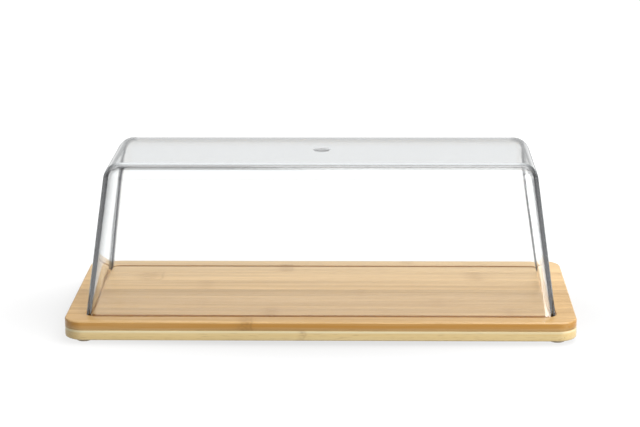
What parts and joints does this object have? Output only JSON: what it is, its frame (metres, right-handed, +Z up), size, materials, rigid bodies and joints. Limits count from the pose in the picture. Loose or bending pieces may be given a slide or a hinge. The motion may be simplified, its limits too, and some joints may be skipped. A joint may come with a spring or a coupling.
{
  "type": "cheese dome",
  "caption": "Long cheese dome: a clear moulded cover with leaning walls stands loose in a groove round a laminated bamboo board on round bumper feet.",
  "frame": {"origin": "on the table, under the middle of the board", "axes": "+X along the length of the board, -Y towards its front, +Z up"},
  "size_m": [0.4, 0.18, 0.1355],
  "materials": {
    "clear_plastic": "clear, polished, slightly cool grey where it is thick",
    "bamboo_dark": "oiled bamboo strip, honey top and caramel edge",
    "bamboo_pale": "oiled bamboo strip, pale yellow edge",
    "foot_elastomer": "translucent tan elastomer, satin"
  },
  "bodies": {
    "board": {"upper_strip_1": "bamboo_dark", "upper_strip_2": "bamboo_dark", "upper_strip_3": "bamboo_dark", "upper_strip_4": "bamboo_dark", "upper_strip_5": "bamboo_dark", "upper_strip_6": "bamboo_dark", "upper_strip_7": "bamboo_dark", "upper_strip_8": "bamboo_dark", "lower_strip_1": "bamboo_pale", "lower_strip_2": "bamboo_pale", "lower_strip_3": "bamboo_pale", "lower_strip_4": "bamboo_pale", "lower_strip_5": "bamboo_pale", "lower_strip_6": "bamboo_pale", "lower_strip_7": "bamboo_pale", "foot_front_left": "foot_elastomer", "foot_front_right": "foot_elastomer", "foot_back_left": "foot_elastomer", "foot_back_right": "foot_elastomer"},
    "cover": {"cover": "clear_plastic"}
  },
  "joints": [
    {"name": "cover_lift", "type": "slide", "parent": "board", "child": "cover", "axis": [0, 0, 1], "range_m": [0, 0.15]}
  ]
}
